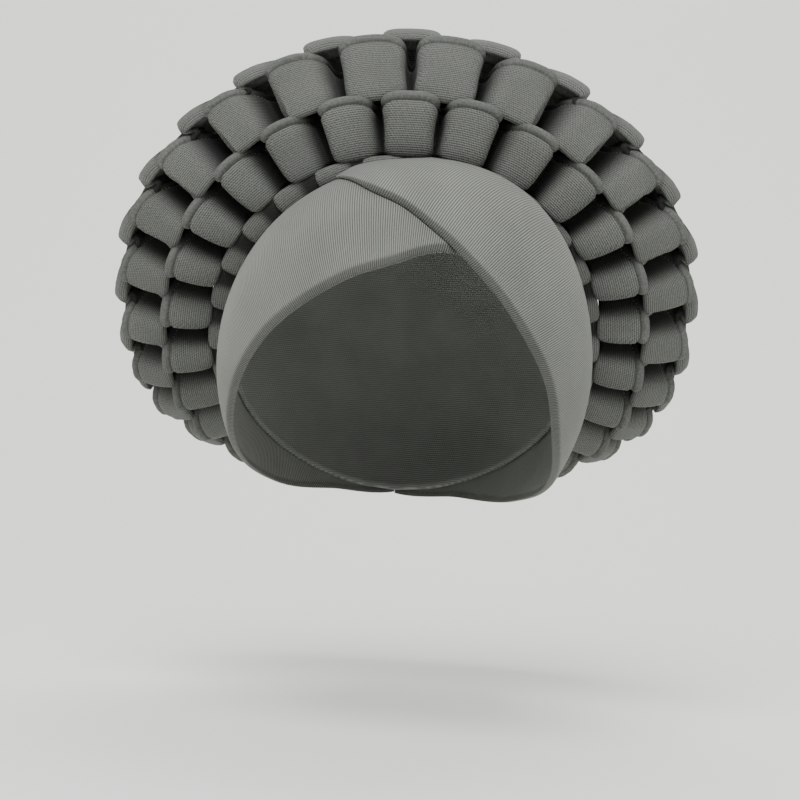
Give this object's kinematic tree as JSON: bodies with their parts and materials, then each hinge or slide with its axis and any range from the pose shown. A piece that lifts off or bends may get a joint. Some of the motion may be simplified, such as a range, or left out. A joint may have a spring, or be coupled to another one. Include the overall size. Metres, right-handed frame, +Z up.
{
  "type": "tied gele head tie",
  "caption": "Tied gele head tie: two padded bands crossed over the forehead on a crown cap, with a fan-shaped halo of looped, interlaced cloth strips around the back of the head.",
  "frame": {"origin": "the inside of the crown cap, where the top of the wearer's head bears on it, on the head's mid-plane", "axes": "+Z up along the upright head, -Y towards the wearer's face, +X towards the wearer's left"},
  "size_m": [0.269, 0.2408, 0.2109],
  "materials": {
    "crown_cap": "ribbed knit",
    "band_under": "ribbed knit",
    "band_over": "ribbed knit",
    "braid_row_seam": "ribbed knit",
    "braid_row_inner": "ribbed knit",
    "braid_row_outer": "ribbed knit",
    "braid_row_rim": "ribbed knit",
    "braid_row_back_outer": "ribbed knit",
    "braid_row_back_inner": "ribbed knit"
  },
  "bodies": {
    "root": {"crown_cap": "crown_cap", "band_under": "band_under", "band_over": "band_over", "braid_row_seam": "braid_row_seam", "braid_row_inner": "braid_row_inner", "braid_row_outer": "braid_row_outer", "braid_row_rim": "braid_row_rim", "braid_row_back_outer": "braid_row_back_outer", "braid_row_back_inner": "braid_row_back_inner"}
  },
  "joints": []
}
